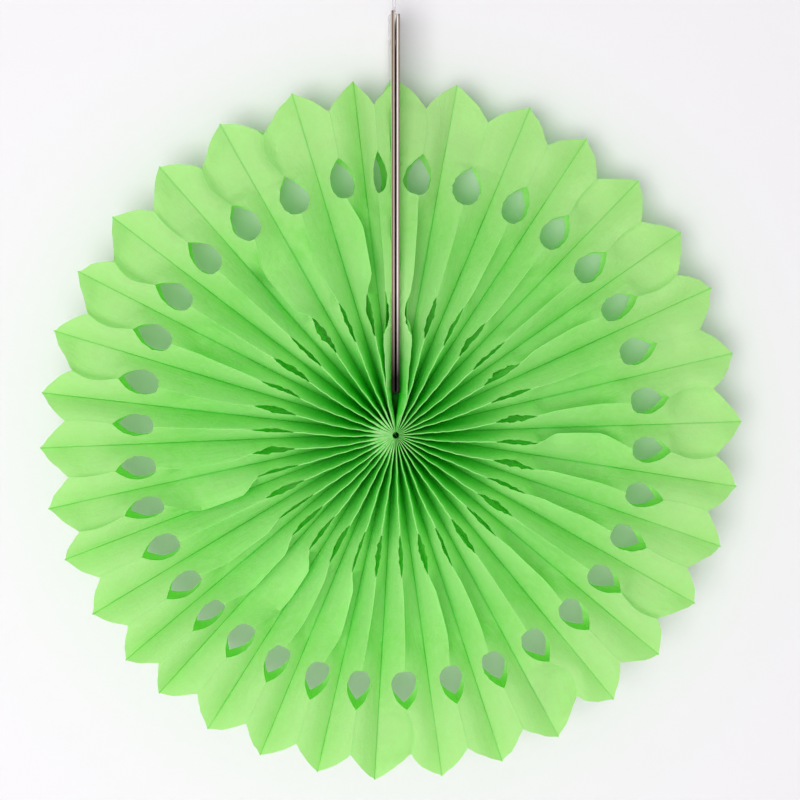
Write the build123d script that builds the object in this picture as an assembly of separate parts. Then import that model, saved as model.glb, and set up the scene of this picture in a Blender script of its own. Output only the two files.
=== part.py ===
from build123d import *
import os
from math import cos, pi, radians, sin, sqrt, tan

# A tissue-paper fan, opened to a full round and hung by a thread. It faces -Y, and +Z is up.
# It is drawn about the hub, and then lowered so that the top of the hanging loop is the origin.

# Tissue leaves, in millimetres. Angles run clockwise from 12 o'clock as seen from the front.
fan_radius = 150.0           # hub to petal tip
cell_count = 35              # diamond-section cells from one card strip to the other
rim_rise = 5.6               # height of a ridge over the mid-plane at its notch, in the widest cell
leaf_thickness = 0.3         # a glued pair of leaves, drawn thicker than real tissue
seam_half_width = 0.6        # half the width of the glued line between two cells
petal_depth = 11.6           # from a notch out to the petal tips
petal_bulge = 1.2            # how far a petal's edge bows out of a straight line
teardrop_margin = 20.0       # from the tip of a teardrop hole out to the notch
teardrop_length = 17.4
teardrop_depth = 7.2         # cut into the leaf, square to the ridge
slit_start = 42.6            # hub to the inner end of a ridge slit
slit_length = 17.6
wide_slit_depth = 4.2        # slits are wide and narrow by turns
narrow_slit_depth = 2.3
core_radius = 5.0            # where the gathered leaves close up round the hub
core_setback = 1.5           # the gathered leaves stand this far below the ridges
hollow_setback = 2.0         # a cell opens this far out from where it starts
bore_radius = 1.0            # the small hole left at the hub
ridge_stations = [0.4, 0.76, 1.0]   # where a ridge is bent, as shares of the way to its notch

# Knife lines of the two holes, from the hub end outwards: share of the length, share of the depth.
teardrop_line = [(0.0, 0.0), (0.1, 0.6), (0.4, 1.0), (0.72, 0.68), (1.0, 0.0)]
slit_line = [(0.0, 0.0), (0.4, 1.0), (0.75, 0.8), (1.0, 0.0)]

# The fan was opened by hand, so its cells aren't even.
squeezed_share = 0.55        # the cell beside the left strip, as a share of the others
top_spread = 4.1             # degrees: opened wider at the top than at the bottom
right_spread = 2.6           # opened wider at the right than at the left
upright_spread = 0.9         # opened wider at the top and bottom than at the sides
slanting_spread = 1.0        # opened wider at the upper left and lower right

# Card strips
card_thickness = 1.2
card_gap = 1.0               # between the two strips
card_overhang = 25.7         # past the petal tips
card_step = 1.4              # the right strip is this much shorter
card_corner = 2.0
foot_clearance = 0.25        # sideways room between a strip's foot and the nearest leaves
punch_radius = 1.5
punch_inset = 10.7           # from the top of the left strip to the punched hole's axis

# Nylon thread
thread_diameter = 0.4
thread_clearance = 0.15      # between the thread and the card
edge_bend = 0.6              # bend of the taut thread round the rim of the punched hole
edge_height = 0.5            # how high the thread passes over a strip's top corner
edge_room = 0.25             # how much further out it stands there than beside the strip
knot_radius = 0.8
knot_height = 1.8
knot_rise = 2.2              # from the top of the left strip to the knot
knot_lead = 0.8              # straight thread below the knot
strand_half_gap = 0.5        # half the space between the two strands above the knot
bend_share = 0.45            # share of the shorter run that an arc takes at its corner

card_face = card_gap / 2 + card_thickness
card_top = fan_radius + card_overhang
notch_radius = fan_radius - petal_depth


def seam_angle(index):
    """Angle of a glued seam, in degrees, counted from the right-hand card strip."""
    shares = cell_count - 1 + squeezed_share
    turn = min(index, shares) / shares
    wave = 2 * pi * turn
    once = top_spread * sin(wave) + right_spread * (1 - cos(wave))
    twice = upright_spread * sin(2 * wave) - slanting_spread * (1 - cos(2 * wave))
    return 360 * turn + once + twice


def seam_point(index, radius):
    """A point on a seam. The first and last seams lie on the card strips' outer faces."""
    if index == 0:
        return Vector(card_face, 0, radius)
    if index == cell_count:
        return Vector(-card_face, 0, radius)
    angle = radians(seam_angle(index))
    return Vector(radius * sin(angle), 0, radius * cos(angle))


pitches = [seam_angle(index + 1) - seam_angle(index) for index in range(cell_count)]
widest_half = notch_radius * sin(radians(max(pitches) / 2))
half_leaf = sqrt(widest_half**2 + rim_rise**2)          # seam to ridge, along the leaf
slimmest_end = min(pitches[0], pitches[-1])
card_foot = (card_face + foot_clearance) / tan(radians(slimmest_end))


def ridge_height(half_width):
    """Height of a ridge over the mid-plane, where its cell is this wide from ridge to seam."""
    return sqrt(max(half_leaf**2 - half_width**2, (rim_rise / 2) ** 2))


def cell_section(index, radius, wall):
    """Six corners of a cell's section, set in by the wall: front left, front ridge and so on."""
    left = seam_point(index, radius)
    right = seam_point(index + 1, radius)
    middle = (left + right) / 2
    across = (right - left).normalized()
    half_width = (right - left).length / 2
    height = ridge_height(half_width)
    slope = sqrt(half_width**2 + (height - seam_half_width) ** 2)
    side = half_width - wall
    ridge = height - wall * slope / half_width
    seam = seam_half_width - wall * (slope - height + seam_half_width) / half_width
    corners = [(-side, -seam), (0, -ridge), (side, -seam), (side, seam), (0, ridge), (-side, seam)]
    return [middle + across * sideways + Vector(0, depth, 0) for sideways, depth in corners]


def flat_face(points):
    return Face(Wire.make_polygon(points, close=True))


def faceted_tube(sections):
    """A closed solid through six-cornered sections, with each leaf panel as flat triangles."""
    faces = [flat_face(sections[0]), flat_face(sections[-1])]
    seam_sides = (2, 5)
    for near, far in zip(sections, sections[1:]):
        for corner in range(6):
            following = (corner + 1) % 6
            quad = [near[corner], near[following], far[following], far[corner]]
            if corner in seam_sides:
                faces.append(flat_face(quad))
            elif corner in (0, 3):
                faces.append(flat_face([quad[0], quad[1], quad[2]]))
                faces.append(flat_face([quad[0], quad[2], quad[3]]))
            else:
                faces.append(flat_face([quad[0], quad[1], quad[3]]))
                faces.append(flat_face([quad[1], quad[2], quad[3]]))
    return Solid(Shell(faces))


def cell_point(index, radius, share):
    """A point of a cell in the mid-plane: share -1 is its left seam, 0 its ridge, 1 its right."""
    left = seam_point(index, radius)
    right = seam_point(index + 1, radius)
    return left * (1 - share) / 2 + right * (1 + share) / 2


def through_cut(points):
    """A cutter right through the fan, front to back, with this outline in the mid-plane."""
    return extrude(flat_face(points), amount=half_leaf + 1, dir=(0, 1, 0), both=True)


def rim_cut(index):
    """What lies outside the two petal edges that meet at a cell's notch."""
    notch = cell_point(index, notch_radius, 0)
    left_tip = seam_point(index, fan_radius)
    right_tip = seam_point(index + 1, fan_radius)
    outward = (left_tip + right_tip).normalized()
    across = (right_tip - left_tip).normalized()
    left_bow = (left_tip + notch) / 2 + outward * petal_bulge
    right_bow = (right_tip + notch) / 2 + outward * petal_bulge
    beside_left = left_tip - across * petal_depth
    beside_right = right_tip + across * petal_depth
    beyond = outward * 2 * petal_depth
    edge = [beside_left, left_tip, left_bow, notch, right_bow, right_tip, beside_right]
    return through_cut(edge + [beside_right + beyond, beside_left + beyond])


def hole_cut(index, start, length, depth, line):
    """A hole astride a cell's ridge, cut along the same knife line on both sides."""
    share = depth / half_leaf
    right = [cell_point(index, start + length * along, share * across) for along, across in line]
    left = [cell_point(index, start + length * along, -share * across) for along, across in line]
    return through_cut(right + left[-2:0:-1])


def cell(index):
    """One diamond-section cell of the fan, hollow, open at the rim, with its holes."""
    beside_card = index in (0, cell_count - 1)
    start = card_foot + core_radius if beside_card else core_radius
    stations = [start + (notch_radius - start) * share for share in ridge_stations]
    stations.append(fan_radius + petal_depth)
    hollow_start = start + hollow_setback
    outside = [cell_section(index, radius, 0) for radius in [start] + stations]
    inside = [cell_section(index, radius, leaf_thickness) for radius in [hollow_start] + stations]
    slit_depth = wide_slit_depth if index % 2 else narrow_slit_depth
    teardrop_start = notch_radius - teardrop_margin - teardrop_length
    teardrop = hole_cut(index, teardrop_start, teardrop_length, teardrop_depth, teardrop_line)
    slit = hole_cut(index, slit_start, slit_length, slit_depth, slit_line)
    petals = faceted_tube(outside).cut(rim_cut(index)).solid()
    return petals.cut(faceted_tube(inside), teardrop, slit).solid()


def tissue_rosette():
    """All the cells, glued to each other at the seams and gathered at the hub."""
    gathered_radius = core_radius + leaf_thickness
    corners = [seam_point(index, gathered_radius) for index in range(1, cell_count)]
    gathered_height = half_leaf - core_setback
    gathered = extrude(flat_face(corners), amount=gathered_height, dir=(0, 1, 0), both=True)
    bore = Rot(90, 0, 0) * Cylinder(bore_radius, 3 * half_leaf)
    cells = [cell(index) for index in range(cell_count)]
    return (gathered - bore).solid().fuse(*cells)


def card_strip(side, top):
    """A cover strip in the radial plane at 12 o'clock: side 1 is the right one, -1 the left."""
    height = top - card_foot
    centre = Vector(side * (card_face - card_thickness / 2), 0, card_foot + height / 2)
    strip = Box(card_thickness, 2 * half_leaf, height)
    strip = fillet(strip.edges().filter_by(Axis.X), card_corner)
    punch = Rot(0, 90, 0) * Cylinder(punch_radius, 4 * card_face)
    return Pos(centre) * strip - Pos(0, 0, card_top - punch_inset) * punch


def thread_tube(points, radii, name):
    """A round thread along straight runs joined by tangent arcs."""
    path = FilletPolyline(*points, radius=radii)
    start = Plane(path @ 0, z_dir=path % 0)
    tube = sweep(start * Circle(thread_diameter / 2), path=path)
    whole = pi * (thread_diameter / 2) ** 2 * path.length
    print(name, "length", round(path.length, 2), "volume", round(tube.volume, 4), "of", round(whole, 4))
    print(name, "radii", [round(radius, 2) for radius in radii])
    return tube


def largest_bends(points):
    """The largest arc that the two runs at each corner allow."""
    bends = []
    for before, corner, after in zip(points, points[1:], points[2:]):
        arriving = corner - before
        leaving = after - corner
        half_turn = radians(arriving.get_angle(leaving) / 2)
        bends.append(bend_share * min(arriving.length, leaving.length) / tan(half_turn))
    return bends


knot_foot = card_top + knot_rise
knot_top = knot_foot + knot_height
strand_face = card_face + thread_clearance + thread_diameter / 2
punch_crown = card_top - punch_inset + punch_radius
thread_level = punch_crown - thread_clearance - thread_diameter / 2


def mirrored(half):
    """A route that comes back down on the other side, without repeating a point on the axis."""
    other = [Vector(-point.X, point.Y, point.Z) for point in reversed(half)]
    return half + other[1:] if half[-1].X == 0 else half + other


def card_tie():
    """The bight of thread from the knot, over the strips and through their punched holes."""
    half = [
        Vector(-knot_radius / 2, 0, knot_foot),
        Vector(-knot_radius / 2, 0, knot_foot - knot_lead),
        Vector(-strand_face - edge_room, 0, card_top + edge_height),
        Vector(-strand_face, 0, thread_level),
    ]
    points = mirrored(half)
    bends = largest_bends(points)
    bends[2] = edge_bend
    bends[3] = edge_bend
    return thread_tube(points, bends, "card_tie")


loop_half = [
    Vector(-strand_half_gap, 0, knot_top),
    Vector(-strand_half_gap - 0.12, 0, knot_top + 5.5),
    Vector(-strand_half_gap - 0.6, 0, knot_top + 11.5),
    Vector(-strand_half_gap - 1.7, 0, knot_top + 17.0),
    Vector(-strand_half_gap - 1.5, 0, knot_top + 21.4),
    Vector(0, 0, knot_top + 23.6),
]


def hanging_loop():
    """The loop above the knot, as wide at its top as the hook that takes it."""
    points = mirrored(loop_half)
    return thread_tube(points, largest_bends(points), "hanging_loop")


def thread_knot():
    """The knot that closes the loop, as a small round barrel."""
    barrel = Cylinder(knot_radius, knot_height)
    barrel = fillet(barrel.edges().filter_by(GeomType.CIRCLE), knot_radius / 3)
    return Pos(0, 0, knot_foot + knot_height / 2) * barrel


nodes = {
    "tissue_rosette": tissue_rosette(),
    "left_card_strip": card_strip(-1, card_top),
    "right_card_strip": card_strip(1, card_top - card_step),
    "card_tie": card_tie(),
    "thread_knot": thread_knot(),
    "hanging_loop": hanging_loop(),
}
hang_height = nodes["hanging_loop"].bounding_box().max.Z - thread_diameter
print("hub to the inside of the loop's top", round(hang_height, 3), "half leaf", round(half_leaf, 3))

os.makedirs("parts", exist_ok=True)
for name, solid in nodes.items():
    export_step(Pos(0, 0, -hang_height) * solid, f"parts/{name}.step")
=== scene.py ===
# %% [markdown]
# # A tissue-paper fan rosette
# The fan is a stack of die-cut green tissue leaves, glued to each other along lines and bound at the hub.
# It has been opened to a full round, so that the leaves make 35 diamond-section cells, and the two cover
# strips of grey card stand together at 12 o'clock. A nylon thread hangs it up.
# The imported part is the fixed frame: every piece below goes where the part says, in metres.

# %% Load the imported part
import math

import bpy
import numpy as np
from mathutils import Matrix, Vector


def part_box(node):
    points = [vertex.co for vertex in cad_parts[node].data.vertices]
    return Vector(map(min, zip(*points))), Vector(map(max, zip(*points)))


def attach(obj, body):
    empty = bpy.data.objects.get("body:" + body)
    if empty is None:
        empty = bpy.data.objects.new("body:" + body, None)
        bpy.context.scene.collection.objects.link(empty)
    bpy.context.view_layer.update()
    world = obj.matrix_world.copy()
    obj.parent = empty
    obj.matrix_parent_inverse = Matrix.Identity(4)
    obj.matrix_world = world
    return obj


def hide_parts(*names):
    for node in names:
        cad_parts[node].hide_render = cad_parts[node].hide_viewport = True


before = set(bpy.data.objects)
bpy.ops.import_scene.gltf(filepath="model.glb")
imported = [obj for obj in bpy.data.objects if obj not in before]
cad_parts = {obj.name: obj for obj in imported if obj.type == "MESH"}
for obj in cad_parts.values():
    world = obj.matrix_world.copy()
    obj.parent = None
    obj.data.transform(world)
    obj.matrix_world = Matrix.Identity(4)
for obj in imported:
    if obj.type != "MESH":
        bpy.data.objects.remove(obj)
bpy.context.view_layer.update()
scene = bpy.context.scene
scene.view_settings.view_transform = "Standard"
mm = 0.001
print("nodes", sorted(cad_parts))

# %% [markdown]
# ## Where the hub is
# The part hangs from its loop, so the frame's origin is the inside of the loop's top. Everything on a fan
# is laid out from its hub, so the hub's place is worked out once and used from there on.

# %% The hub
hang_height = 202.508            # mm, hub to the inside of the loop's top
hub = Vector((0, 0, -hang_height * mm))


def from_hub(x, y, z):
    """A point given in mm from the hub, in the frame's metres."""
    return hub + Vector((x, y, z)) * mm


print("hub", [round(value, 4) for value in hub])

# %% [markdown]
# ## Camera
# The petals at the upper left look a little longer than those at the lower right, and through each hole
# the far layer of tissue shows to one side. Both come from a camera a little above and left of the hub,
# some 64 cm away. It is aimed, not shifted, so that other views keep a straight lens.

# %% The camera
image_side = 800
hub_pixel = (394.2, 433)
camera_data = bpy.data.cameras.new("camera")
camera_data.sensor_width = 36
camera_data.lens = 67.9
camera_data.clip_start = 0.01
camera = bpy.data.objects.new("camera", camera_data)
scene.collection.objects.link(camera)
scene.camera = camera
camera.location = from_hub(-28, -642, 43)
focal_pixels = camera_data.lens / camera_data.sensor_width * image_side
to_hub = (hub - camera.location).normalized()
aim = to_hub.to_track_quat("-Z", "Y")
right = aim @ Vector((1, 0, 0))
up = aim @ Vector((0, 1, 0))
sideways = (image_side / 2 - hub_pixel[0]) / focal_pixels
upwards = (hub_pixel[1] - image_side / 2) / focal_pixels
camera.rotation_mode = "QUATERNION"
camera.rotation_quaternion = (to_hub + right * sideways + up * upwards).to_track_quat("-Z", "Y")
bpy.context.view_layer.update()
print("lens", camera_data.lens, "focal length in pixels", round(focal_pixels))

# %% [markdown]
# ## Small helpers
# A colour is written as the sRGB hex value that the eye would name, and one function turns it to the
# linear values that shaders work in. One more function adds a node with its settings and links.


# %% Colours and nodes
def linear(hex_colour):
    """An sRGB hex colour as linear red, green, blue and alpha."""
    channels = [int(hex_colour[place:place + 2], 16) / 255 for place in (1, 3, 5)]
    return [c / 12.92 if c <= 0.04045 else ((c + 0.055) / 1.055) ** 2.4 for c in channels] + [1.0]


def new_material(name):
    """An empty node material and its output node."""
    material = bpy.data.materials.new(name)
    material.use_nodes = True
    material.node_tree.nodes.clear()
    return material, material.node_tree.nodes.new("ShaderNodeOutputMaterial")


def add_node(material, kind, inputs=None, **settings):
    """A node with its settings, and with values or other nodes' sockets on its inputs."""
    node = material.node_tree.nodes.new(kind)
    for name, value in settings.items():
        setattr(node, name, value)
    for name, value in (inputs or {}).items():
        if isinstance(value, bpy.types.NodeSocket):
            material.node_tree.links.new(value, node.inputs[name])
        else:
            node.inputs[name].default_value = value
    return node


def finish_material(material, output, shader):
    """Puts the shader on the output."""
    material.node_tree.links.new(shader.outputs[0], output.inputs["Surface"])
    print("material", material.name, len(material.node_tree.nodes), "nodes")


# %% [markdown]
# ## Nylon thread
# The hanger is clear nylon monofilament, drawn to 0.4 mm: smooth, glossy and slightly milky, so that
# against a pale wall only its bright and dark edges show. A principled shader with most of its light
# transmitted gives that, and a faint noise breaks the gloss as handling does.

# %% Material: nylon monofilament
nylon, output = new_material("nylon_monofilament")
place = add_node(nylon, "ShaderNodeTexCoord")
haze = add_node(nylon, "ShaderNodeTexNoise", {
    "Vector": place.outputs["Object"], "Scale": 1 / (2 * mm)})
haze_tone = add_node(nylon, "ShaderNodeMapRange", {
    "Value": haze.outputs["Fac"], "To Min": 0.1, "To Max": 0.26})
nylon_shader = add_node(nylon, "ShaderNodeBsdfPrincipled", {
    "Base Color": linear("#EFECF4"),
    "Roughness": haze_tone.outputs["Result"],
    "IOR": 1.53,
    "Transmission Weight": 0.65,
})
finish_material(nylon, output, nylon_shader)

# %% [markdown]
# ## Hanging loop
# The thread goes up from the knot, round whatever hook takes it, and back down to the knot. A NURBS curve
# through the part's own route points, with a round bevel, is the natural form for a thread: it bends
# smoothly and its thickness is one number.

# %% The loop
thread_diameter = 0.4
loop_half = [
    (-0.5, 0, -22.808),
    (-0.62, 0, -17.308),
    (-1.1, 0, -11.308),
    (-2.2, 0, -5.808),
    (-2.0, 0, -1.408),
]
loop_top = [(0, 0, 0.792)]
loop_route = loop_half + loop_top + [(-x, y, z) for x, y, z in reversed(loop_half)]


def thread_curve(name, route, diameter):
    """A round thread along a smooth NURBS line with these control points, in mm."""
    curve = bpy.data.curves.new(name, "CURVE")
    curve.dimensions = "3D"
    curve.bevel_depth = diameter / 2 * mm
    curve.bevel_resolution = 4
    curve.resolution_u = 12
    curve.use_fill_caps = True
    spline = curve.splines.new("NURBS")
    spline.points.add(len(route) - 1)
    for point, (x, y, z) in zip(spline.points, route):
        point.co = (x * mm, y * mm, z * mm, 1)
    spline.order_u = 3
    spline.use_endpoint_u = True
    thread = bpy.data.objects.new(name, curve)
    scene.collection.objects.link(thread)
    return thread


loop = thread_curve("nylon_loop", loop_route, thread_diameter)
loop.data.materials.append(nylon)
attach(loop, "root")
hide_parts("hanging_loop")
print("loop", len(loop_route), "points")

# %% [markdown]
# ## Knot
# The two strands are closed by a few tight turns of the same thread. The turns are a helix tube, drawn as
# one closed mesh, because at this size a wound barrel reads as a knot from every side.

# %% The knot
knot_foot = -24.608
knot_height = 1.8
knot_radius = 0.8
knot_turns = 4
points_a_turn = 20
ring_points = 10


def wound_tube(name, path, radius):
    """A closed round tube along a path of mm points, with flat caps."""
    path = np.array(path)
    heading = np.gradient(path, axis=0)
    heading /= np.linalg.norm(heading, axis=1)[:, None]
    side = np.cross(heading, (0, 0, 1.0))
    side /= np.linalg.norm(side, axis=1)[:, None]
    lift = np.cross(side, heading)
    turn = np.linspace(0, 2 * math.pi, ring_points, endpoint=False)
    ring = side[:, None] * np.cos(turn)[None, :, None] + lift[:, None] * np.sin(turn)[None, :, None]
    points = (path[:, None] + radius * ring).reshape(-1, 3) * mm
    faces = []
    for row in range(len(path) - 1):
        for step in range(ring_points):
            here = row * ring_points + step
            there = row * ring_points + (step + 1) % ring_points
            faces.append((here, there, there + ring_points, here + ring_points))
    faces.append(tuple(range(ring_points))[::-1])
    faces.append(tuple(len(points) - ring_points + step for step in range(ring_points)))
    mesh = bpy.data.meshes.new(name)
    mesh.from_pydata(points.tolist(), [], faces)
    mesh.shade_smooth()
    tube = bpy.data.objects.new(name, mesh)
    scene.collection.objects.link(tube)
    return tube


winding = []
for step in range(knot_turns * points_a_turn + 1):
    share = step / (knot_turns * points_a_turn)
    angle = 2 * math.pi * knot_turns * share
    reach = (knot_radius - thread_diameter / 2) * (0.75 + 0.25 * math.sin(math.pi * share))
    rise = thread_diameter / 2 + (knot_height - thread_diameter) * share
    winding.append((reach * math.cos(angle), reach * math.sin(angle), knot_foot + rise))
knot = wound_tube("nylon_knot", winding, thread_diameter / 2)
knot.data.materials.append(nylon)
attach(knot, "root")
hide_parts("thread_knot")
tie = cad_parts["card_tie"]
tie.data.materials.clear()
tie.data.materials.append(nylon)
print("knot", len(knot.data.vertices), "points,", knot_turns, "turns")

# %% [markdown]
# ## The leaves: where the seams run
# Each cell of the fan is bounded by two seams in the mid-plane, where its leaves are glued to the next
# cell's. The fan was opened by hand, so the seams are a little wider apart at the right and at the top, and
# the last cell, beside the left card, is squeezed. These are the part's own values. Each seam then slips by
# a degree or so, as the photograph shows it.

# %% Seams
fan_radius = 150.0
cell_count = 35
rim_rise = 5.6
seam_half_width = 0.6
petal_depth = 11.6
squeezed_share = 0.55
top_spread = 4.1
right_spread = 2.6
upright_spread = 0.9
slanting_spread = 1.0
hub_radius = 1.4
card_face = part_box("right_card_strip")[1].x / mm
card_foot = (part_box("right_card_strip")[0].z - hub.z) / mm
notch_radius = fan_radius - petal_depth
front_parting = (hub_radius + 1, card_foot)        # mm from the hub, where the two card seams part
back_parting = (card_foot - 0.2, card_foot + 1)
seam_slips = [
    0, -1.2, -0.1, -0.8, -0.9, -0.9, -1.2, -0.5, 0.3, 0.5, 0.2, 0, -0.2, -0.3, 0.2, -0.1, -0.2, 0.8,
    0.4, 0.5, 0.6, 1.2, -0.3, -0.2, 0.6, 0, 0.4, -0.4, -0.3, -0.4, -0.8, -0.8, -0.1, 1.1, -0.3, 0,
]


def even_seam_angle(index):
    """Angle of a seam in degrees, clockwise from 12 o'clock as seen from the front."""
    shares = cell_count - 1 + squeezed_share
    turn = min(index, shares) / shares
    wave = 2 * math.pi * turn
    once = top_spread * math.sin(wave) + right_spread * (1 - math.cos(wave))
    twice = upright_spread * math.sin(2 * wave) - slanting_spread * (1 - math.cos(2 * wave))
    return 360 * turn + once + twice


def seam_angle(index):
    """The same with the seam's own slip, in radians."""
    return math.radians(even_seam_angle(index) + seam_slips[index])


def smooth_ramp(value, start, end):
    """0 before start, 1 after end, and an S-curve between them."""
    share = np.clip((value - start) / (end - start), 0, 1)
    return share * share * (3 - 2 * share)


def seam_line(index, radius, is_front):
    """Points of a seam in the mid-plane.

    The first and last seams lie on the card strips. Below the strips' feet they close at the back,
    and at the front they stand apart nearly down to the hub.
    """
    zero = np.zeros_like(radius)
    if index in (0, cell_count):
        side = 1 if index == 0 else -1
        parted = smooth_ramp(radius, *(front_parting if is_front else back_parting))
        return np.stack([side * card_face * parted, zero, radius], -1)
    angle = seam_angle(index)
    return np.stack([radius * math.sin(angle), zero, radius * math.cos(angle)], -1)


pitches = [even_seam_angle(index + 1) - even_seam_angle(index) for index in range(cell_count)]
half_leaf = math.hypot(notch_radius * math.sin(math.radians(max(pitches) / 2)), rim_rise)
print("widest and slimmest cell", round(max(pitches), 2), round(min(pitches), 2), "degrees")
print("seam to ridge along the leaf", round(half_leaf, 3), "mm")

# %% [markdown]
# ## The leaves: knife lines
# The die cut three things out of the flat leaves, always at the ridge or the rim: a slit near the hub, a
# teardrop hole further out, and the scalloped rim, which gives the petals. A panel's edge is therefore one
# line: how much the die took off, at each distance from the hub. Tissue tears a little under the die, so
# the lines are ragged, and most of all at the slits.

# %% Knife lines
teardrop_start = 101.0
teardrop_length = 17.4
teardrop_depth = 7.2
teardrop_widest = 0.4            # where a teardrop is widest, in parts of its length
teardrop_tear = 0.06             # how ragged its edge is, in parts of its depth
teardrop_end = teardrop_start + teardrop_length
slit_start = 42.6
slit_length = 17.6
slit_end = slit_start + slit_length
wide_slit_depth = 4.2
narrow_slit_depth = 2.3
slit_closing = 0.9               # limp edges fall together, so a slit looks narrower than its cut
slit_tear = 0.5
least_cut = 0.15                 # mm, so that a hole's two edges stay apart up to its ends
nib = 0.9                        # mm, the sliver that a glued seam leaves standing at a petal's tip
nib_share = 0.06                 # how far that sliver reaches across the petal
petal_swell = 1.6                # mm, how far a petal's edge bows out
rim_wave = 0.25                  # mm, slow waves along the rim
rim_tear = 0.2                   # mm, torn fibres along the rim


def spaced(start, end, count):
    """Stations between two distances, closer together at both ends."""
    share = (1 - np.cos(np.linspace(0, math.pi, count + 1))) / 2
    even = np.linspace(0, 1, count + 1)
    return start + (end - start) * (0.5 * share + 0.5 * even)[:-1]


stations = np.concatenate([
    np.linspace(hub_radius, slit_start, 19)[:-1],
    spaced(slit_start, slit_end, 13),
    np.linspace(slit_end, teardrop_start, 16)[:-1],
    spaced(teardrop_start, teardrop_end, 14),
    np.linspace(teardrop_end, fan_radius, 15),
])


def teardrop_cut(share):
    """Half-outline of a teardrop: blunt at the hub end, and drawn to a point at the rim end."""
    blunt = np.sqrt(np.clip(1 - ((teardrop_widest - share) / teardrop_widest) ** 2, 0, 1))
    past_widest = np.clip((share - teardrop_widest) / (1 - teardrop_widest), 0, 1)
    return np.where(share < teardrop_widest, blunt, np.cos(past_widest * math.pi / 2))


def ridge_cut(index, draw):
    """What the die took off a panel's ridge edge at each station, in mm."""
    slit = np.clip((stations - slit_start) / slit_length, 0, 1)
    teardrop = np.clip((stations - teardrop_start) / teardrop_length, 0, 1)
    slit_depth = slit_closing * (wide_slit_depth if index % 2 else narrow_slit_depth)
    slit_depth *= draw.uniform(0.8, 1.15)
    ragged = draw.uniform(-1, 1, len(stations))
    lens = np.where((slit > 0) & (slit < 1), np.sin(math.pi * slit ** 0.9), 0)
    drop = np.where((teardrop > 0) & (teardrop < 1), teardrop_cut(teardrop), 0)
    drop_depth = teardrop_depth * (squeezed_share if index == cell_count - 1 else 1)
    cut = slit_depth * lens * (1 + slit_tear * ragged) + drop_depth * drop * (1 + teardrop_tear * ragged)
    return np.where(lens + drop > 0.001, np.maximum(cut, least_cut), 0)


def rim_line(share, draw):
    """Distance of the rim from the hub, from a petal's tip at its seam (0) to the notch (1)."""
    straight = fan_radius - nib - (petal_depth - nib) * share
    swell = 4 * petal_swell * share * (1 - share)
    sliver = nib * np.exp(-(share / nib_share) ** 2)
    wave = rim_wave * np.sin(draw.uniform(5, 9) * share + draw.uniform(0, 6)) * np.sin(math.pi * share)
    torn = draw.uniform(-rim_tear, rim_tear, share.shape[-1])
    return straight + swell + sliver + wave + torn + draw.uniform(-0.35, 0)


print(len(stations), "stations from hub to rim")

# %% [markdown]
# ## The leaves: how each ridge has fallen
# Tissue is limp, so a ridge doesn't stand straight over the middle of its cell. Between the slit and the
# teardrop many ridges have fallen to one side, a few right over the seam beside them. Out at the rim they
# only bow. Near the hub, where they stand tallest, they all sag under their own weight, and the two beside
# the cards lean away from them. The two lists are the turns that the front ridges show, in degrees,
# clockwise from the first ridge after the right card. The back ridges fall by chance.

# %% Ridge falls
flap_turns = [
    0.5, 0, 0.7, 0.5, -0.6, -1.3, 0.6, -0.8, -3.7, -1, -1, 0.4, -1, 0, -0.7, -1.4, -0.5, -0.4,
    -2.5, -1.4, -5, -3.5, -2.1, 0, -5, -2, 0, -0.8, 0.5, -0.4, -0.2, -3.7, -1, 3.2, 0,
]
bow_turns = [
    0.3, 0.5, 0, -0.7, -0.7, 1.2, -0.1, -1.3, 1.5, -0.3, 0.3, 1.3, 0, -2.1, 0, -0.1, -1.3, 0,
    0, 0, 0, 0, 0, 0, -0.8, -0.5, 0.3, -1.5, -1.5, -1.9, -0.7, -1.6, -1.7, 0, 0,
]
hub_sag = 1.2                                # mm, how far the tall ridges near the hub lean down
card_leans = {0: 2.2, cell_count - 1: -1.8}  # mm, how far the ridges beside the cards lean away from them
lowest_ridge = 2.5                           # mm over the mid-plane, where a ridge lies flat
bow_start, bow_end = 116, 143                # mm from the hub
flap_zone = (59, 69, 86, 104)                # mm from the hub: fades in, then out
wiggle_zone = (5, 14, 30, 62)
back_zone = (32, 43, 59, 72)
card_zone = (1, 16, 36, 62)


def zone(radius, start, full, fading, end):
    """1 from full to fading, and smoothly down to 0 at the start and at the end."""
    return smooth_ramp(radius, start, full) * (1 - smooth_ramp(radius, fading, end))


def ripple(radius, height, shortest, longest, draw):
    """A wave along the ridge, with a length and a phase by chance."""
    return height * np.sin(radius / draw.uniform(shortest, longest) + draw.uniform(0, 6))


def ridge_bow(index, is_front, radius, draw):
    """How far a ridge bows to the clockwise side between its teardrop and its notch, in mm."""
    bow = bow_turns[index] if is_front else draw.normal(0, 0.5)
    share = np.clip((radius - bow_start) / (bow_end - bow_start), 0, 1)
    return np.radians(bow * np.sin(math.pi * share) ** 1.5) * radius


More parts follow.
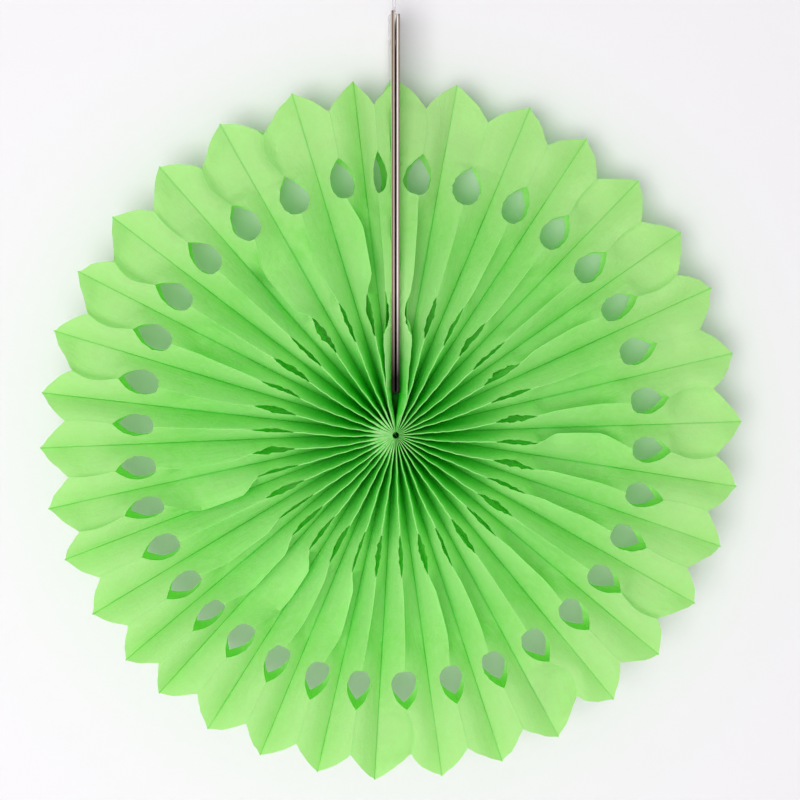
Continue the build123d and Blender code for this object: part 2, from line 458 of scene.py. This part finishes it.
def ridge_fall(index, is_front, radius, draw):
    """How far the rest of a ridge stands to the clockwise side of its cell's middle, in mm."""
    middle = (seam_angle(index) + seam_angle(index + 1)) / 2
    flap = flap_turns[index] if is_front else draw.normal(0, 1.2)
    turned = np.radians(flap * zone(radius, *flap_zone)) * radius
    tall = np.sin(math.pi * np.clip((radius - 1) / 47, 0, 1))
    sag = hub_sag * math.sin(middle) * tall * draw.uniform(0.6, 1.3)
    wiggle = ripple(radius, 0.2, 4, 7, draw) * zone(radius, *wiggle_zone)
    crinkle = ripple(radius, 0.12, 0.9, 1.5, draw) * zone(radius, *wiggle_zone)
    drift = ripple(radius, 0.3, 9, 16, draw) * smooth_ramp(radius, 50, 80)
    if is_front:
        lean = card_leans.get(index, 0) * zone(radius, *card_zone)
    else:
        lean = draw.choice([-1, 1]) * draw.uniform(1.8, 3.0) * zone(radius, *back_zone)
    return turned + sag + wiggle + crinkle + drift + lean


print("ridges fallen by over 2 degrees:", sum(abs(turn) > 2 for turn in flap_turns))

# %% [markdown]
# ## The leaves: one cell as a soft tube
# A cell is a tube of four leaf panels, closed by the two glued seams. On each side of the mid-plane, two
# panels lean against each other at the ridge. A leaf can't stretch, so when a ridge falls to one side it
# also comes down, the far panel is pulled straight, and the near one buckles in under it. A parabola between
# seam and ridge is enough for that: its sag comes from the spare length. Taut panels puff out slightly, which
# is why the ridges look soft and the seams look sharp. Where a ridge bows at the rim, the far panel creases
# beside it, which leaves a small lip. The ridge itself is a narrow rounded fold.

# %% Ridges and their slack
columns = np.array([0, 0.06, 0.24, 0.44, 0.62, 0.74, 0.84, 0.93, 1.0])
taut_share = 0.992               # how much of a leaf's length a ridge stands from its seam, at most
outer_slack = 1.8                # mm, spare leaf that lets the ridges outside the teardrops hang lower
slack_zone = (100, 122, 124, 138)
card_slack = 4.5                 # mm, the same for the two ridges beside the cards
bow_drop = 0.35                  # how far a bow brings its ridge down, as if it were a lean
fold_crown = 0.08                # mm, how far the rounded fold at a ridge stands up


def ridge_slack(index, is_front, radius):
    """Spare leaf that lets a ridge hang lower, in mm."""
    if is_front and index in card_leans:
        return card_slack * smooth_ramp(radius, 12, 44) * (1 - 0.35 * smooth_ramp(radius, 60, 90))
    return outer_slack * zone(radius, *slack_zone)


def fold_half_width(index, radius, half_width):
    """Half the width of the rounded fold: broad where the ridges are gathered, fine further out.

    On the left of the hub the gathered folds lie so close that they close up to one flat patch.
    """
    leftness = max(0, -math.sin((seam_angle(index) + seam_angle(index + 1)) / 2))
    patch = leftness * (1 - smooth_ramp(radius, 7, 14))
    widest = 0.1 + 0.08 * (1 - smooth_ramp(radius, 40, 70)) + 0.4 * patch
    return np.minimum(widest, (0.4 + 0.55 * patch) * half_width)


def fold_line(left, right, is_front):
    """The crown of the rounded fold between two panels."""
    crown = (left[:, -1] + right[:, -1]) / 2
    crown[:, 1] += -fold_crown if is_front else fold_crown
    return crown


print("columns a panel", len(columns), "and stations", len(stations))

# %% [markdown]
# A panel starts at its seam and ends at its ridge, and what lies between is pushed in or out of the straight
# line. The outermost leaf on each side is different: it is pasted up the face of its card strip, and only
# near the strip's front does it leave the card for its ridge.

# %% One panel
glue_room = 0.012                # mm, each of two glued leaves stands this far off the seam
bow_lip = 0.85                   # how deep the crease beside a bowed ridge is, in parts of the bow
buckle_spare = (0.5, 1.6)        # mm of spare leaf, from which a panel buckles
buckle_end = (86, 102)           # mm from the hub, where the buckles run out
tuck = 3                         # mm, how deep a buckled panel tucks in


def soft_waves(share, radius, draw):
    """Slow waves of a limp panel, in mm."""
    waves = 0
    for _ in range(3):
        slant = share * draw.uniform(-4, 4) + draw.uniform(0, 6)
        waves = waves + draw.uniform(0.05, 0.14) * np.sin(radius / draw.uniform(3, 9) + slant)
    return waves


def pasted_panel(share, start_x, run, rise, waves):
    """Across and up for the leaf that is pasted to a card strip and then goes straight to its ridge."""
    spare = half_leaf**2 - run**2 - rise**2
    pasted = np.clip(spare / (2 * (half_leaf - rise)), 0.1, 0.9 * rise)
    turn = pasted / half_leaf
    free = np.clip((share - turn) / (1 - turn), 0, 1)
    on_strip = pasted * np.minimum(share / turn, 1)
    return start_x + run * free, seam_half_width + on_strip + (rise - pasted + waves) * free


def leaf_panel(index, is_front, side, fall_draw, draw):
    """Grids from seam to ridge: points in mm, unrolled places, and distances to edges, hub and rim."""
    cut = ridge_cut(index, draw)
    share = columns[None, :] * (1 - cut / half_leaf)[:, None]
    outer = np.clip((stations - teardrop_end) / (fan_radius - teardrop_end), 0, None)[:, None]
    rim = rim_line(share, draw)
    radius = np.where(outer > 0, teardrop_end + outer * (rim - teardrop_end), stations[:, None])
    left, right = seam_line(index, radius, is_front), seam_line(index + 1, radius, is_front)
    half_width = np.linalg.norm(right - left, axis=-1) / 2
    across = (right - left) / (2 * half_width[..., None])

    # where the ridge stands, and how high: a leaf can't stretch, so what leans also comes down
    taut = taut_share * half_leaf
    most = np.clip(math.sqrt(taut**2 - lowest_ridge**2) - half_width, 0, None)
    bow = ridge_bow(index, is_front, radius, fall_draw)
    fall = np.clip(ridge_fall(index, is_front, radius, fall_draw), -most, most)
    lean = np.hypot(abs(fall) + bow_drop * abs(bow), ridge_slack(index, is_front, radius))
    height = np.sqrt(np.maximum(taut**2 - (half_width + lean) ** 2, lowest_ridge**2))
    start_x = side * (half_width - np.minimum(glue_room, half_width / 2))
    end_x = fall + bow + side * fold_half_width(index, radius, half_width)
    run, rise = end_x - start_x, height - seam_half_width
    chord = np.hypot(run, rise)

    # how far the panel is pushed out of the straight line
    spare = np.sqrt(3 / 16 * np.clip(half_leaf**2 - chord**2, 0, None))
    buckled = smooth_ramp(half_leaf - chord, *buckle_spare) * (1 - smooth_ramp(radius, *buckle_end))
    far = np.clip(-side * bow, 0, None)
    puff = (0.05 + 0.07 * smooth_ramp(radius, 95, 130)) * half_width * (1 - smooth_ramp(far, 0.3, 1.5))
    sag = buckled * np.minimum(spare, 0.75 * half_width) - (1 - buckled) * puff * (0.5 + share)
    soft = np.minimum(1, half_width / 6) * np.sin(math.pi * np.clip(share, 0, 1)) ** 0.8
    waves = soft_waves(share, radius, draw) * soft * (1 - 0.8 * buckled)
    crease = 1 - np.clip(far / half_leaf, 0.08, 0.4)
    lip = np.minimum(share / crease, (1 - share) / (1 - crease))
    push = 4 * sag * share * (1 - share) + waves + bow_lip * far * lip

    on_card = is_front and (index, side) in ((0, -1), (cell_count - 1, 1))
    if on_card:
        x, y = pasted_panel(share, start_x, run, rise, waves)
    else:
        x = start_x + run * share - side * push * rise / chord
        lift = side * push * run / chord
        tucked = buckled * (np.clip(lift, 0, None) + tuck * share * (1 - share))
        y = seam_half_width + rise * share + lift - tucked
    out = np.array([0, -1 if is_front else 1, 0])
    # on a card strip the distances from the edge are stretched near the hub and shortened further out, so
    # that this leaf gets more painted fold shade near the hub and less further out
    shade_stretch = 2.4 - 2 * smooth_ramp(radius, 18, 50) if on_card else 1
    return {
        "points": (left + right) / 2 + across * x[..., None] + out * y[..., None],
        "radius": radius,
        "along": half_leaf * share,
        "edge": shade_stretch * half_leaf * ((1 - cut / half_leaf)[:, None] - share),
        "reach": np.stack([radius, rim - radius], -1),
        "cut": cut,
    }


print("mm from seam to ridge, pulled taut:", round(taut_share * half_leaf, 3))

# %% [markdown]
# A cell then takes its four panels in order round the tube, with the fold's crown between each two. The quads
# round it are left out where a slit or a teardrop parts the fold.

# %% One cell
seam_strip = 2 * seam_half_width
front_turn = 2 * half_leaf + 0.4   # mm of leaf from seam over the ridge to the next seam
leaf_spacing = 400                 # mm between two leaves in the unrolled map
fall_seed, panel_seed = 700, 100


def cell_tube(index):
    """Points, unrolled places, edge and hub distances of one cell, and where its folds are parted."""
    rings, places, edges, reaches, open_folds = [], [], [], [], []
    rows = len(stations)
    for is_front in (True, False):
        layer = index if is_front else index + cell_count
        panels = {}
        for side in (-1, 1):
            fall_draw = np.random.default_rng(fall_seed + layer)
            draw = np.random.default_rng(panel_seed + 4 * layer + side)
            panels[side] = leaf_panel(index, is_front, side, fall_draw, draw)
        start = 0 if is_front else front_turn + seam_strip
        shift = leaf_spacing * layer
        for number, side in enumerate((-1, 1) if is_front else (1, -1)):
            panel = panels[side]
            unrolled = start + (front_turn - panel["along"] if number else panel["along"])
            if number:
                at_fold = np.full((rows, 1), start + front_turn / 2)
                from_seam = np.full((rows, 1), half_leaf)
                rings.append(fold_line(panels[-1]["points"], panels[1]["points"], is_front)[:, None])
                places.append(np.stack([panel["radius"][:, -1:] + shift, at_fold], -1))
                edges.append(np.stack([np.zeros((rows, 1)), from_seam], -1))
                reaches.append(panel["reach"][:, -1:])
            order = slice(None, None, -1 if number else 1)
            rings.append(panel["points"][:, order])
            places.append(np.stack([panel["radius"] + shift, unrolled], -1)[:, order])
            edges.append(np.stack([panel["edge"], panel["along"]], -1)[:, order])
            reaches.append(panel["reach"][:, order])
        open_folds.append((panels[-1]["cut"] > 0) | (panels[1]["cut"] > 0))
    return [np.concatenate(grids, 1) for grids in (rings, places, edges, reaches)], open_folds


def tube_faces(rows, ring, open_folds, offset):
    """Quads round a tube, left out where a hole parts the fold."""
    faces = []
    folds = {}
    for number, cut_rows in enumerate(open_folds):
        crown = number * (2 * len(columns) + 1) + len(columns)
        folds[crown - 1] = cut_rows
        folds[crown] = cut_rows
    for column in range(ring):
        following = (column + 1) % ring
        for row in range(rows - 1):
            if column in folds and (folds[column][row] or folds[column][row + 1]):
                continue
            here = offset + row * ring
            faces.append((here + column, here + following, here + ring + following, here + ring + column))
    return faces


print("points round a cell", 2 * (2 * len(columns) + 1))

# %% [markdown]
# ## The leaves: all the cells in one sheet
# The cells are gathered into one mesh, because the tissue is one glued piece. Three UV maps go with it, all
# in metres: the leaf unrolled flat, for the paper's own texture, the distances from the ridge's edge and from
# the seam, for the painted fold shade, painted edge highlight and painted valley shade and for the glue, and
# the distances from the hub and from the rim.

# %% Build the tissue
sharp_angle = math.radians(45)
cells, faces = [], []
offset = 0
for index in range(cell_count):
    grids, open_folds = cell_tube(index)
    rows, ring = grids[0].shape[:2]
    faces += tube_faces(rows, ring, open_folds, offset)
    cells.append([grid.reshape(rows * ring, -1) for grid in grids])
    offset += rows * ring
faces = np.array(faces)
used = np.unique(faces)
renumbered = np.zeros(offset, int)
renumbered[used] = np.arange(len(used))
faces = renumbered[faces]
points, places, edges, reaches = [np.concatenate(parts)[used] for parts in zip(*cells)]

tissue_mesh = bpy.data.meshes.new("tissue_leaves")
tissue_mesh.from_pydata((points * mm + np.array(hub)).tolist(), [], faces.tolist())
corner_points = np.empty(len(tissue_mesh.loops), int)
tissue_mesh.loops.foreach_get("vertex_index", corner_points)
for layer_name, values in (("leaf", places), ("edges", edges), ("reach", reaches)):
    layer = tissue_mesh.uv_layers.new(name=layer_name)
    layer.uv.foreach_set("vector", (values[corner_points] * mm).astype(np.float32).ravel())
tissue_mesh.shade_smooth()
tissue_mesh.set_sharp_from_angle(angle=sharp_angle)
tissue = bpy.data.objects.new("tissue_leaves", tissue_mesh)
scene.collection.objects.link(tissue)
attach(tissue, "root")
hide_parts("tissue_rosette")
print("tissue", len(faces), "faces,", 2 * len(faces), "triangles")

# %% [markdown]
# ## Tissue paper
# Thin dyed tissue is a felt of soft fibres, matt and see-through. Light that goes through a leaf or bounces
# between leaves takes the green colour again each time, so the petals at the rim are pale and the gathered
# folds at the hub are a deep green. Three colour channels deepen less than a real colourant does, so light
# and
# shade are painted into the tone: by the distance from the hub it is a deep green at the hub, lightest about
# the slits and paler again towards the rim, and painted shade deepens it down in the folds near the hub and
# in the valleys half way out. A rough principled shader gives the lit face, and a translucent one gives what
# comes through, with the same painted fold shade. Where two leaves are glued, the glue soaks in and the line
# shows darker. Along the ridge edges near the hub a painted highlight makes the tone pale, broken up by fleck
# noise.
# Fibres are about 0.02 mm thick, too fine to show, so they are drawn as flecks of 0.6 mm, clouds of 4 mm and
# soft creases of 3 by 40 mm.

# %% Material: tissue paper, its fibres and its tone
tissue_paper, output = new_material("dyed_tissue_paper")
leaf_map = add_node(tissue_paper, "ShaderNodeUVMap", uv_map="leaf")
edge_map = add_node(tissue_paper, "ShaderNodeUVMap", uv_map="edges")
reach_map = add_node(tissue_paper, "ShaderNodeUVMap", uv_map="reach")
from_edge = add_node(tissue_paper, "ShaderNodeSeparateXYZ", {"Vector": edge_map.outputs["UV"]})
reach_parts = add_node(tissue_paper, "ShaderNodeSeparateXYZ", {"Vector": reach_map.outputs["UV"]})
hub_distance = reach_parts.outputs["X"]
clouds = add_node(tissue_paper, "ShaderNodeTexNoise", {
    "Vector": leaf_map.outputs["UV"], "Scale": 1 / (4 * mm), "Detail": 5, "Roughness": 0.65})
along_fibres = add_node(tissue_paper, "ShaderNodeMapping", {
    "Vector": leaf_map.outputs["UV"], "Scale": (0.35, 1, 1), "Rotation": (0, 0, 0.3)})
flecks = add_node(tissue_paper, "ShaderNodeTexNoise", {
    "Vector": along_fibres.outputs["Vector"], "Scale": 1 / (0.6 * mm), "Detail": 3, "Roughness": 0.7})
fleck_part = add_node(tissue_paper, "ShaderNodeMath", {
    0: flecks.outputs["Fac"], 1: 0.5}, operation="MULTIPLY")
mottle = add_node(tissue_paper, "ShaderNodeMath", {
    0: clouds.outputs["Fac"], 1: fleck_part.outputs["Value"]}, operation="ADD")
mottle_share = add_node(tissue_paper, "ShaderNodeMapRange", {
    "Value": mottle.outputs["Value"], "From Min": 0.6, "From Max": 0.92, "To Min": 0.0, "To Max": 0.55})
# painted light and shade: the tone follows the distance from the hub, deep green at the hub, lightest about
# the slits, paler towards the rim
reach_share = add_node(tissue_paper, "ShaderNodeMapRange", {
    "Value": hub_distance, "From Max": fan_radius * mm})
painted_radius_tone = add_node(tissue_paper, "ShaderNodeValToRGB", {"Fac": reach_share.outputs["Result"]})
painted_radius_tones = [(0.12, "#5EF046"), (0.33, "#D6FFB2"), (0.58, "#AFEE86"), (0.85, "#CFECA4")]
tone_stops = painted_radius_tone.color_ramp.elements
for share, _ in painted_radius_tones[1:-1]:
    tone_stops.new(share)
for stop, (share, tone) in zip(tone_stops, painted_radius_tones):
    stop.position = share
    stop.color = linear(tone)
dye_and_shade = add_node(tissue_paper, "ShaderNodeMix", {
    "Factor": mottle_share.outputs["Result"], "A": painted_radius_tone.outputs["Color"],
    "B": linear("#CDF6AC")}, data_type="RGBA")
print("tones from hub to rim", [tone for _, tone in painted_radius_tones])

# %% Material: tissue paper, its painted fold shade, painted edge highlight, seams and painted valley shade
# painted shade: the tone goes a deep green away from the ridge edges, down in the folds near the hub
down_fold = add_node(tissue_paper, "ShaderNodeMapRange", {
    "Value": from_edge.outputs["X"], "From Min": 1.2 * mm, "From Max": 9 * mm})
gathered = add_node(tissue_paper, "ShaderNodeMapRange", {
    "Value": hub_distance, "From Min": 18 * mm, "From Max": 52 * mm, "To Min": 1.0, "To Max": 0.0})
fold_shade_mask = add_node(tissue_paper, "ShaderNodeMath", {
    0: down_fold.outputs["Result"], 1: gathered.outputs["Result"]}, operation="MULTIPLY")
fold_shaded_dye = add_node(tissue_paper, "ShaderNodeMix", {
    "Factor": fold_shade_mask.outputs["Value"], "A": dye_and_shade.outputs["Result"], "B": linear("#06D203")},
    data_type="RGBA")
# painted highlight: a pale line along the ridge edges, strongest near the hub, broken up by fleck noise
near_hub = add_node(tissue_paper, "ShaderNodeMapRange", {
    "Value": hub_distance, "From Min": 18 * mm, "From Max": 44 * mm, "To Min": 0.9, "To Max": 0.35})
at_edge = add_node(tissue_paper, "ShaderNodeMapRange", {
    "Value": from_edge.outputs["X"], "From Min": 0.05 * mm, "From Max": 0.35 * mm,
    "To Min": 1.0, "To Max": 0.0})
highlight_breakup = add_node(tissue_paper, "ShaderNodeMapRange", {
    "Value": flecks.outputs["Fac"], "From Min": 0.4, "From Max": 0.6, "To Min": 0.2, "To Max": 1.0})
edge_highlight_mask = add_node(tissue_paper, "ShaderNodeMath", {
    0: at_edge.outputs["Result"], 1: highlight_breakup.outputs["Result"]}, operation="MULTIPLY")
edge_highlight = add_node(tissue_paper, "ShaderNodeMath", {
    0: near_hub.outputs["Result"], 1: edge_highlight_mask.outputs["Value"]}, operation="MULTIPLY")
highlit_dye = add_node(tissue_paper, "ShaderNodeMix", {
    "Factor": edge_highlight.outputs["Value"], "A": fold_shaded_dye.outputs["Result"], "B": linear("#CBF7B2")},
    data_type="RGBA")
at_seam = add_node(tissue_paper, "ShaderNodeMapRange", {
    "Value": from_edge.outputs["Y"], "From Min": 0.15 * mm, "From Max": 0.55 * mm,
    "To Min": 1.0, "To Max": 0.0})
glue_strength = add_node(tissue_paper, "ShaderNodeMapRange", {
    "Value": hub_distance, "From Min": 90 * mm, "From Max": 148 * mm, "To Min": 0.6, "To Max": 0.35})
glued = add_node(tissue_paper, "ShaderNodeMath", {
    0: at_seam.outputs["Result"], 1: glue_strength.outputs["Result"]}, operation="MULTIPLY")
glued_dye = add_node(tissue_paper, "ShaderNodeMix", {
    "Factor": glued.outputs["Value"], "A": highlit_dye.outputs["Result"], "B": linear("#52D04A")},
    data_type="RGBA")
# painted shade: the tone goes deeper green in the valleys beside the seams, half way out
in_valley = add_node(tissue_paper, "ShaderNodeMapRange", {
    "Value": from_edge.outputs["Y"], "From Min": 0.3 * mm, "From Max": 5 * mm,
    "To Min": 0.35, "To Max": 0.0})
half_way = add_node(tissue_paper, "ShaderNodeMapRange", {
    "Value": hub_distance, "From Min": 70 * mm, "From Max": 112 * mm, "To Min": 1.0, "To Max": 0.0})
valley_shade = add_node(tissue_paper, "ShaderNodeMath", {
    0: in_valley.outputs["Result"], 1: half_way.outputs["Result"]}, operation="MULTIPLY")
colour = add_node(tissue_paper, "ShaderNodeMix", {
    "Factor": valley_shade.outputs["Value"], "A": glued_dye.outputs["Result"], "B": linear("#3CC82F")},
    data_type="RGBA")
print("tissue paper so far", len(tissue_paper.node_tree.nodes), "nodes")

# %% Material: tissue paper, its surface and the light through it
along_leaf = add_node(tissue_paper, "ShaderNodeMapping", {
    "Vector": leaf_map.outputs["UV"], "Scale": (0.08, 1, 1), "Rotation": (0, 0, 0.06)})
creases = add_node(tissue_paper, "ShaderNodeTexNoise", {
    "Vector": along_leaf.outputs["Vector"], "Scale": 1 / (3 * mm), "Detail": 3, "Roughness": 0.55})
crease_bump = add_node(tissue_paper, "ShaderNodeBump", {
    "Height": creases.outputs["Fac"], "Strength": 0.6, "Distance": 0.35 * mm})
cloud_bump = add_node(tissue_paper, "ShaderNodeBump", {
    "Height": clouds.outputs["Fac"], "Strength": 0.7, "Distance": 0.5 * mm,
    "Normal": crease_bump.outputs["Normal"]})
fleck_bump = add_node(tissue_paper, "ShaderNodeBump", {
    "Height": flecks.outputs["Fac"], "Strength": 0.3, "Distance": 0.05 * mm,
    "Normal": cloud_bump.outputs["Normal"]})
lit_face = add_node(tissue_paper, "ShaderNodeBsdfPrincipled", {
    "Base Color": colour.outputs["Result"],
    "Roughness": 0.9,
    "IOR": 1.45,
    "Specular IOR Level": 0.2,
    "Normal": fleck_bump.outputs["Normal"],
})
# the light through the leaf takes the same painted fold shade
through_colour = add_node(tissue_paper, "ShaderNodeMix", {
    "Factor": fold_shade_mask.outputs["Value"], "A": linear("#74F547"), "B": linear("#2CE818")}, data_type="RGBA")
through_light = add_node(tissue_paper, "ShaderNodeBsdfTranslucent", {
    "Color": through_colour.outputs["Result"], "Normal": fleck_bump.outputs["Normal"]})
tissue_shader = add_node(tissue_paper, "ShaderNodeMixShader", {
    "Fac": 0.45, 1: lit_face.outputs["BSDF"], 2: through_light.outputs["BSDF"]})
finish_material(tissue_paper, output, tissue_shader)
tissue_mesh.materials.append(tissue_paper)

# %% [markdown]
# ## Grey card
# The cover strips are cut from white-lined chipboard: recycled pulp pressed in plies, with a white liner on
# the faces. The cut edges show the brown-grey plies, and the faces that look at each other are white. The
# strips' own solids have the right shape, so they only get the material. It tells a face from an edge by the
# surface normal, and draws the plies by the distance from the face. On the cut edges the inner liner ply is
# white on the right strip and painted in shade, a grey tan, on the left one. Near the hub the strips stand
# deep between the leaves, where hardly any light gets, so a painted shade darkens the tone towards their
# feet.

# %% Material: white-lined chipboard
chipboard, output = new_material("white_lined_chipboard")
place = add_node(chipboard, "ShaderNodeTexCoord")
where = add_node(chipboard, "ShaderNodeSeparateXYZ", {"Vector": place.outputs["Object"]})
surface = add_node(chipboard, "ShaderNodeNewGeometry")
facing = add_node(chipboard, "ShaderNodeSeparateXYZ", {"Vector": surface.outputs["True Normal"]})
is_face = add_node(chipboard, "ShaderNodeMath", {0: facing.outputs["X"]}, operation="ABSOLUTE")
long_pulp = add_node(chipboard, "ShaderNodeMapping", {
    "Vector": place.outputs["Object"], "Scale": (1, 1, 0.12)})
pulp = add_node(chipboard, "ShaderNodeTexNoise", {
    "Vector": long_pulp.outputs["Vector"], "Scale": 1 / (0.35 * mm), "Detail": 4, "Roughness": 0.65})
pulp_colour = add_node(chipboard, "ShaderNodeMix", {
    "Factor": pulp.outputs["Fac"], "A": linear("#5E4D40"), "B": linear("#93806F")}, data_type="RGBA")
from_middle = add_node(chipboard, "ShaderNodeMath", {0: where.outputs["X"]}, operation="ABSOLUTE")
inner_ply = add_node(chipboard, "ShaderNodeMapRange", {
    "Value": from_middle.outputs["Value"], "From Min": 0.95 * mm, "From Max": 1.15 * mm,
    "To Min": 0.9, "To Max": 0})
# painted shade: the inner liner ply on the cut edges is white on the right strip and a shaded grey tan on the
# left one
right_strip = add_node(chipboard, "ShaderNodeMath", {
    0: where.outputs["X"], 1: 0.0}, operation="GREATER_THAN")
ply_colour_shaded_left = add_node(chipboard, "ShaderNodeMix", {
    "Factor": right_strip.outputs["Value"], "A": linear("#B5A69A"), "B": linear("#E9E5E2")},
    data_type="RGBA")
edge_colour = add_node(chipboard, "ShaderNodeMix", {
    "Factor": inner_ply.outputs["Result"], "A": pulp_colour.outputs["Result"],
    "B": ply_colour_shaded_left.outputs["Result"]}, data_type="RGBA")
liner = add_node(chipboard, "ShaderNodeTexNoise", {
    "Vector": place.outputs["Object"], "Scale": 1 / (3 * mm), "Detail": 3})
liner_colour = add_node(chipboard, "ShaderNodeMix", {
    "Factor": liner.outputs["Fac"], "A": linear("#DAD5D1"), "B": linear("#EDEAE8")}, data_type="RGBA")
face_share = add_node(chipboard, "ShaderNodeMapRange", {
    "Value": is_face.outputs["Value"], "From Min": 0.6, "From Max": 0.8})
unshaded_card_colour = add_node(chipboard, "ShaderNodeMix", {
    "Factor": face_share.outputs["Result"], "A": edge_colour.outputs["Result"],
    "B": liner_colour.outputs["Result"]}, data_type="RGBA")
# painted shade: the card's tone goes nearly black towards the strips' feet, deep between the leaves
from_foot = add_node(chipboard, "ShaderNodeMapRange", {
    "Value": where.outputs["Z"], "From Min": hub.z + 24 * mm, "From Max": hub.z + 60 * mm,
    "To Min": 0.97, "To Max": 0.0})
card_colour = add_node(chipboard, "ShaderNodeMix", {
    "Factor": from_foot.outputs["Result"], "A": unshaded_card_colour.outputs["Result"], "B": linear("#0E110A")},
    data_type="RGBA")
card_bump = add_node(chipboard, "ShaderNodeBump", {
    "Height": pulp.outputs["Fac"], "Strength": 0.5, "Distance": 0.08 * mm})
card_shader = add_node(chipboard, "ShaderNodeBsdfPrincipled", {
    "Base Color": card_colour.outputs["Result"], "Roughness": 0.9, "IOR": 1.45,
    "Specular IOR Level": 0.1, "Normal": card_bump.outputs["Normal"]})
finish_material(chipboard, output, card_shader)
for name in ("left_card_strip", "right_card_strip"):
    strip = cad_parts[name]
    strip.data.materials.clear()
    strip.data.materials.append(chipboard)

# %% [markdown]
# ## Wall, floor and light
# The fan hangs close in front of a white wall, so that its holes and notches show the wall in soft green
# shade. The wall comes a little nearer to the fan at the right and at the top, where the shade is tighter.
# It rolls into a floor well below the fan, as a studio backdrop does. It is seen from its front only, so that
# views from behind show the fan.

# %% The backdrop
wall_distance = 0.033            # metres behind the fan's mid-plane, at the hub
nearer_right, nearer_up = 0.05, 0.1
backdrop_reach = 1.6
wall_top = 1.2
floor_front = -2.4
floor_drop = 0.62
roll = 0.25
roll_steps = 12
profile = [(wall_distance, wall_top)]
for step in range(roll_steps + 1):
    angle = math.pi / 2 * step / roll_steps
    profile.append((wall_distance - roll + roll * math.cos(angle),
                    -floor_drop + roll - roll * math.sin(angle)))
profile.append((floor_front, -floor_drop))
backdrop_mesh = bpy.data.meshes.new("backdrop")
backdrop_points = [
    (x, y - nearer_right * x - nearer_up * z, hub.z + z)
    for y, z in profile
    for x in (-backdrop_reach, backdrop_reach)
]
backdrop_faces = [(2 * row, 2 * row + 2, 2 * row + 3, 2 * row + 1) for row in range(len(profile) - 1)]
backdrop_mesh.from_pydata(backdrop_points, [], backdrop_faces)
backdrop_mesh.shade_smooth()
backdrop = bpy.data.objects.new("backdrop", backdrop_mesh)
scene.collection.objects.link(backdrop)

painted_wall, output = new_material("matt_wall_paint")
wall_side = add_node(painted_wall, "ShaderNodeNewGeometry")
wall_shader = add_node(painted_wall, "ShaderNodeBsdfPrincipled", {
    "Base Color": linear("#E7E4E7"), "Roughness": 0.95, "Specular IOR Level": 0.1})
see_through = add_node(painted_wall, "ShaderNodeBsdfTransparent")
one_sided = add_node(painted_wall, "ShaderNodeMixShader", {
    "Fac": wall_side.outputs["Backfacing"], 1: wall_shader.outputs["BSDF"], 2: see_through.outputs["BSDF"]})
finish_material(painted_wall, output, one_sided)
backdrop_mesh.materials.append(painted_wall)
print("wall faces", [round(value, 2) for value in backdrop_mesh.polygons[0].normal])

# %% [markdown]
# The light is a soft one from the front, a little low and to the left, which puts the fan's shade on the wall
# up and to the right. The world fills in evenly and gives about half of the light. Light bounces many times
# between the leaves before it comes out of a deep fold, so more bounces than usual are traced, or the folds
# would go grey.


# %% Lights
def soft_light(name, place, size, power):
    """A square area lamp that looks at the hub."""
    lamp = bpy.data.lights.new(name, "AREA")
    lamp.size = size
    lamp.energy = power
    light = bpy.data.objects.new(name, lamp)
    light.location = place
    light.rotation_euler = (hub - light.location).to_track_quat("-Z", "Y").to_euler()
    scene.collection.objects.link(light)


soft_light("key_light", from_hub(-400, -1440, -300), size=0.9, power=17.5)
scene.cycles.diffuse_bounces = 10
world = bpy.data.worlds.new("studio")
scene.world = world
world.use_nodes = True
sky = world.node_tree.nodes["Background"]
sky.inputs["Color"].default_value = linear("#F2F3F4")
sky.inputs["Strength"].default_value = 0.65
